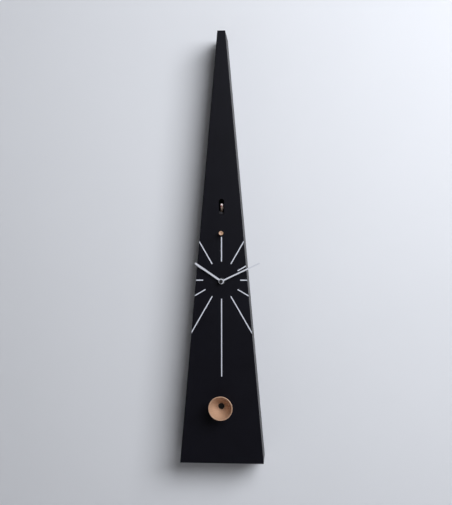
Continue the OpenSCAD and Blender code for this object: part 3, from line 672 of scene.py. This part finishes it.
def caseHalfWidth(z):  # half the front panel's width at a height
    low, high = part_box("front_panel")
    topHalf = max(abs(v.co.x) for v in frame["nodes"]["front_panel"].data.vertices
                  if v.co.z > high.z - 0.01 * mm)
    return high.x + (topHalf - high.x) * (z - low.z) / (high.z - low.z)


def makeHourBars():
    bars = {"inner": 34.5, "width": 1.9, "reach12": 80.0, "reach6": 178.0, "margin": 0.4, "rise": 2.0}
    low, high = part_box("hour_bars")
    centre = Vector((0, high.y, middle("shaft_nut").z + bars["rise"] * mm))
    piece = addObject("hourBars", bpy.data.meshes.new("hourBars"))
    run(hourBarTree(), piece, innerRadius=bars["inner"] * mm, barWidth=bars["width"] * mm,
        thickness=high.y - low.y, halfWidth=caseHalfWidth(centre.z) - bars["margin"] * mm,
        slope=(caseHalfWidth(centre.z) - caseHalfWidth(centre.z + 0.1)) / 0.1,
        reach12=bars["reach12"] * mm, reach6=bars["reach6"] * mm, centre=centre,
        material=finishOf["hour_bars"])
    bm = bmesh.new()
    bm.from_mesh(piece.data)
    bmesh.ops.recalc_face_normals(bm, faces=bm.faces)
    piece.data = meshFrom(bm, "hourBars", 30)
    return settle(piece, finishOf["hour_bars"], "hour_bars")


def screwTree():
    # one screw on every point, its head turned along the point's "facing"
    tree, given = newTree("screws", ("Screw", "Object"), ("Material", "Material"))
    facing = attribute(tree, "facing", "FLOAT_VECTOR")
    turn = addNode(tree, "FunctionNodeAlignRotationToVector", {"Vector": facing}, axis="Z").outputs[0]
    shape = addNode(tree, "GeometryNodeObjectInfo", {"Object": given["Screw"]}).outputs["Geometry"]
    copies = addNode(tree, "GeometryNodeInstanceOnPoints", {"Points": given["Geometry"], "Instance": shape,
                     "Rotation": turn}).outputs[0]
    endTree(tree, copies, given["Material"])
    return tree


def screwShape(kind):
    # head at the origin facing +Z, a cross in its face, threaded shank below
    bm = bmesh.new()
    steps = int(kind["length"] / kind["pitch"] * 6)
    start = kind["head"] + kind["plain"]
    outline = [(0, kind["headRadius"] - kind["rim"]), (kind["rim"], kind["headRadius"])]
    if kind["under"] > kind["radius"]:  # a flange, with a flat underside
        outline.append((kind["head"], kind["under"]))
    outline += [(kind["head"], kind["radius"]), (start, kind["radius"])]
    outline += [(start + (kind["length"] - start) * i / steps, 0) for i in range(1, steps + 1)]
    rings = []
    for depth, radius in outline:
        ring = []
        for k in range(24):
            a = 2 * math.pi * k / 24
            wave = abs((depth / kind["pitch"] + k / 24) % 1 - 0.5) * 2
            narrow = min(1, (kind["length"] - depth) / kind["tip"] + 0.12)
            out = radius or kind["radius"] * (0.72 + 0.28 * wave) * narrow
            ring.append(bm.verts.new(Vector((out * math.cos(a), out * math.sin(a), -depth)) * mm))
        rings.append(ring)
    for ring, after in zip(rings, rings[1:]):
        for k in range(24):
            bm.faces.new((ring[k], ring[(k + 1) % 24], after[(k + 1) % 24], after[k]))
    bm.faces.new(rings[-1])
    arm, half, deep = kind["cross"], kind["cross"] / 5, kind["cross"] * 0.5
    corners = [(arm, -half), (arm, half), (half, half), (half, arm), (-half, arm), (-half, half),
               (-arm, half), (-arm, -half), (-half, -half), (-half, -arm), (half, -arm), (half, -half)]
    upper = [bm.verts.new(Vector((x, y, 0)) * mm) for x, y in corners]
    lower = [bm.verts.new(Vector((0.7 * x, 0.7 * y, -deep)) * mm) for x, y in corners]
    for k in range(12):
        bm.faces.new((upper[k], upper[(k + 1) % 12], lower[(k + 1) % 12], lower[k]))
    bm.faces.new(lower)
    edge = [bm.edges.get((ring[k], ring[(k + 1) % len(ring)])) for ring in (rings[0], upper)
            for k in range(len(ring))]
    bmesh.ops.triangle_fill(bm, use_beauty=True, edges=edge)
    bmesh.ops.recalc_face_normals(bm, faces=bm.faces)
    return addObject("screwShape", meshFrom(bm, "screwShape"))


woodScrew = {"radius": 1.75, "headRadius": 3.5, "head": 1.75, "under": 1.75, "length": 18.0, "plain": 3.0,
             "pitch": 1.5, "rim": 0.12, "tip": 3.0, "cross": 2.0}
flangeScrew = {"radius": 1.75, "headRadius": 3.0, "head": 1.6, "under": 3.0, "length": 7.2, "plain": 0.4,
               "pitch": 1.2, "rim": 0.35, "tip": 1.6, "cross": 1.8}


def makeScrews(node, kind):
    heads = bpy.data.meshes.new(camelName(node))
    places, facings = [], []
    for low, high in lumps(node):
        across = (low + high) / 2
        if high.z - low.z > high.y - low.y:  # runs up through the bottom panel
            places.append((across.x, across.y, low.z))
            facings += (0, 0, -1)
        else:
            places.append((across.x, high.y, across.z))
            facings += (0, 1, 0)
    heads.from_pydata(places, [], [])
    heads.attributes.new("facing", "FLOAT_VECTOR", "POINT").data.foreach_set("vector", facings)
    shape = screwShape(kind)
    piece = run(screwTree(), addObject(camelName(node), heads), screw=shape, material=finishOf[node])
    bpy.data.objects.remove(shape)
    return settle(piece, finishOf[node], node)


makeHourBars()
makeScrews("case_screws", woodScrew)
makeScrews("hanger_screws", woodScrew)
makeScrews("unit_screws", flangeScrew)
print("hour bars and screws made")


# ---- bird ----

birdShape = {  # millimetres from the feet: back, up, half width, half thickness
    "body": [(8.2, 1.7, 0.9, 0.3), (6.4, 2.1, 1.4, 0.5), (4.4, 2.6, 1.8, 1.2), (2.8, 3.4, 2.4, 2.3),
             (1.1, 4.9, 2.7, 3.0), (-0.3, 7.0, 2.7, 3.0), (-1.4, 9.0, 2.35, 2.5), (-2.1, 10.6, 1.95, 2.0),
             (-2.5, 11.6, 2.2, 2.25), (-2.75, 12.8, 2.7, 2.75), (-2.75, 14.1, 2.6, 2.6),
             (-2.65, 15.3, 1.9, 1.85), (-2.6, 16.1, 0.7, 0.7)],
    "wing": [(7.2, 2.9, 0.3, 0.4), (5.4, 3.9, 0.5, 1.1), (3.2, 5.4, 0.7, 2.0), (1.3, 7.2, 0.8, 2.5),
             (-0.3, 9.0, 0.7, 2.0), (-1.1, 10.4, 0.4, 0.9)],
    "upperBeak": [(-4.2, 12.4, 1.15, 0.9), (-5.5, 11.9, 1.0, 0.8), (-6.7, 11.0, 0.65, 0.55),
                  (-7.6, 10.0, 0.25, 0.25)],
    "lowerBeak": [(-4.2, 11.4, 0.95, 0.7), (-5.3, 10.7, 0.8, 0.5), (-6.2, 9.9, 0.5, 0.35),
                  (-6.8, 9.2, 0.2, 0.2)],
    "wingOut": 2.35, "legOut": 1.2, "beakLean": 0.4,
}


def loft(bm, stations, base, sides=20, shift=0.0, lean=0.0):
    # rings of ellipses square to a path in the Y-Z plane, closed at both ends
    start = stations[0][0]
    path = [Vector((shift + lean * (back - start), back, up)) * mm + base for back, up, _, _ in stations]
    rings = []
    for i, (_, _, halfWide, halfThick) in enumerate(stations):
        along = (path[min(i + 1, len(path) - 1)] - path[max(i - 1, 0)]).normalized()
        wide = Vector((1, 0, 0))
        thick = along.cross(wide).normalized()
        ring = []
        for k in range(sides):
            a = 2 * math.pi * k / sides
            ring.append(bm.verts.new(path[i] + wide * halfWide * mm * math.cos(a)
                                     + thick * halfThick * mm * math.sin(a)))
        rings.append(ring)
    for ring, after in zip(rings, rings[1:]):
        for k in range(sides):
            bm.faces.new((ring[k], ring[(k + 1) % sides], after[(k + 1) % sides], after[k]))
    bm.faces.new(rings[0])
    bm.faces.new(rings[-1])


def rounded(bm, name, node):
    bmesh.ops.recalc_face_normals(bm, faces=bm.faces)
    piece = addObject(name, meshFrom(bm, name, 180))
    smooth = piece.modifiers.new("smooth", "SUBSURF")
    smooth.levels = smooth.render_levels = 2
    return settle(frozen(piece), finishOf[node], node)


def makeBird():
    base, eye, shape = birdBase(), birdEye(), birdShape
    bm = bmesh.new()
    loft(bm, shape["body"], base)
    for side in (-1, 1):
        loft(bm, shape["wing"], base, 12, side * shape["wingOut"])
        foot = Matrix.Translation(base + Vector((side * shape["legOut"], 0, 2)) * mm)
        bmesh.ops.create_cone(bm, cap_ends=True, segments=10, radius1=0.5 * mm, radius2=0.4 * mm,
                              depth=4 * mm, matrix=foot)
        bmesh.ops.create_uvsphere(bm, u_segments=12, v_segments=8, radius=birdPlace["eyeRadius"] * mm,
                                  matrix=Matrix.Translation((side * eye.x, eye.y, eye.z)))
    rounded(bm, "bird", "bird")
    bm = bmesh.new()
    for half in ("upperBeak", "lowerBeak"):
        loft(bm, shape[half], base, 14, 0.0, shape["beakLean"])
    rounded(bm, "beak", "beak")


makeBird()
print("bird made")


# ---- stage, light and camera ----

stageSizes = {"floorDrop": 1.5, "reach": 6.0, "holeInset": 0.004, "wallGap": 0.0002}  # metres


def makeStage():
    low, high = cadLow, cadHigh
    ground, reach = low.z - stageSizes["floorDrop"], stageSizes["reach"]
    bm = bmesh.new()
    bmesh.ops.create_grid(bm, x_segments=1, y_segments=1, size=reach,
                          matrix=Matrix.Translation((0, 0, ground)))
    floor = addObject("floor", meshFrom(bm, "floor"))
    inset = stageSizes["holeInset"]  # behind the case the wall is open, so light reaches the case's back
    foot, head = caseHalfWidth(low.z) - inset, caseHalfWidth(high.z) - inset
    wallY = high.y + stageSizes["wallGap"]
    outer = [(-reach, ground), (reach, ground), (reach, ground + 2 * reach), (-reach, ground + 2 * reach)]
    hole = [(-foot, low.z + inset), (foot, low.z + inset), (head, high.z - inset), (-head, high.z - inset)]
    bm = bmesh.new()
    outer, inner = [[bm.verts.new((x, wallY, z)) for x, z in ring] for ring in (outer, hole)]
    for k in range(4):
        bm.faces.new((outer[k], outer[(k + 1) % 4], inner[(k + 1) % 4], inner[k]))
    wall = addObject("wall", meshFrom(bm, "wall"))
    bm = bmesh.new()
    bm.faces.new([bm.verts.new((x, wallY, z)) for x, z in hole])
    patch = addObject("wallBehindCase", meshFrom(bm, "wallBehindCase"))
    floorPaint, tree, shader = newMaterial("floorPaint", Roughness=0.9)
    tree.links.new(ramp(tree, noise(tree, objectPoint(tree), 3, 4), (0.3, (0.62, 0.62, 0.63)),
                        (0.7, (0.66, 0.66, 0.67))), shader.inputs["Base Color"])
    floor.data.materials.append(floorPaint)
    wallPaint, tree, shader = newMaterial("wallPaint", Roughness=0.9, Specular_IOR_Level=0.15)
    plaster = noise(tree, objectPoint(tree), 3, 4)
    tree.links.new(ramp(tree, plaster, (0.3, (0.775, 0.79, 0.82)), (0.7, (0.79, 0.805, 0.835))),
                   shader.inputs["Base Color"])
    # the wall shows from the room side only, so the clock's back can be seen from behind
    rays = addNode(tree, "ShaderNodeLightPath").outputs
    back = addNode(tree, "ShaderNodeNewGeometry").outputs["Backfacing"]
    shown = maths(tree, "SUBTRACT", 1.0, maths(tree, "MAXIMUM", rays["Is Shadow Ray"], back))
    clear = addNode(tree, "ShaderNodeBsdfTransparent").outputs[0]
    both = addNode(tree, "ShaderNodeMixShader", {0: shown, 1: clear, 2: shader.outputs[0]})
    tree.links.new(both.outputs[0], tree.nodes["Material Output"].inputs["Surface"])
    wall.data.materials.append(wallPaint)
    patchPaint = wallPaint.copy()  # the same wall inside the case, for the eye alone
    patchPaint.name = "wallPaintBehindCase"
    tree = patchPaint.node_tree
    nodeOf = {node.bl_idname: node for node in tree.nodes}
    seen = maths(tree, "MULTIPLY", nodeOf["ShaderNodeLightPath"].outputs["Is Camera Ray"],
                 maths(tree, "SUBTRACT", 1.0, nodeOf["ShaderNodeNewGeometry"].outputs["Backfacing"]))
    tree.links.new(seen, nodeOf["ShaderNodeMixShader"].inputs[0])
    patch.data.materials.append(patchPaint)


def addLight(name, place, target, size, power, colour):
    data = bpy.data.lights.new(name, "AREA")
    data.shape = "RECTANGLE"
    data.size, data.size_y = size
    data.energy = power
    data.color = colour
    lamp = bpy.data.objects.new(name, data)
    bpy.context.scene.collection.objects.link(lamp)
    lamp.location = place
    lamp.rotation_euler = (Vector(target) - Vector(place)).to_track_quat("-Z", "Y").to_euler()


lightPlaces = {  # metres from the middle of the clock: place, aim, size, watts, colour
    "window": ((1.15, -1.78, 0.95), (0, 0, 0.15), (1.75, 1.3), 60, (0.945, 0.962, 1.0)),
    "backFill": ((0.9, 1.9, 0.8), (0, 0, 0), (1.6, 1.6), 30, (1.0, 0.99, 0.98)),
}
worldGlow = {"room": 0.042, "behind": 0.8, "colour": (1.0, 0.96, 0.94, 1)}


def makeLights():
    centre = Vector((0, 0, (cadLow.z + cadHigh.z) / 2))
    for name, (place, aim, size, power, colour) in lightPlaces.items():
        addLight(name, centre + Vector(place), centre + Vector(aim), size, power, colour)
    world = bpy.data.worlds.new("studio")
    world.use_nodes = True
    tree = world.node_tree  # a dim room in front of the wall, a bright one behind it
    towards = addNode(tree, "ShaderNodeTexCoord").outputs["Generated"]
    depth = addNode(tree, "ShaderNodeSeparateXYZ", {0: towards}).outputs["Y"]
    behind = worldGlow["behind"]
    glow = spread(tree, maths(tree, "GREATER_THAN", depth, 0.0), worldGlow["room"], behind)
    seen = addNode(tree, "ShaderNodeLightPath").outputs["Is Camera Ray"]
    sky = tree.nodes["Background"]
    sky.inputs["Color"].default_value = worldGlow["colour"]
    strength = maths(tree, "MAXIMUM", glow, maths(tree, "MULTIPLY", seen, behind))
    tree.links.new(strength, sky.inputs["Strength"])
    bpy.context.scene.world = world


cameraPlace = {"away": 1.4735, "aside": 0.1195, "aboveFoot": 0.3896, "turnDegrees": 4.314,
               "rollDegrees": 0.08, "lens": 57.03}


def makeCamera():
    low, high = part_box("front_panel")
    data = bpy.data.cameras.new("camera")
    data.lens = cameraPlace["lens"]
    data.sensor_width = 36
    camera = bpy.data.objects.new("camera", data)
    bpy.context.scene.collection.objects.link(camera)
    camera.location = (cameraPlace["aside"], low.y - cameraPlace["away"], low.z + cameraPlace["aboveFoot"])
    camera.rotation_euler = (math.pi / 2, math.radians(cameraPlace["rollDegrees"]),
                             math.radians(cameraPlace["turnDegrees"]))
    bpy.context.scene.camera = camera


makeStage()
makeLights()
makeCamera()
bpy.context.scene.view_settings.view_transform = "Standard"
print("stage, lights and camera made")
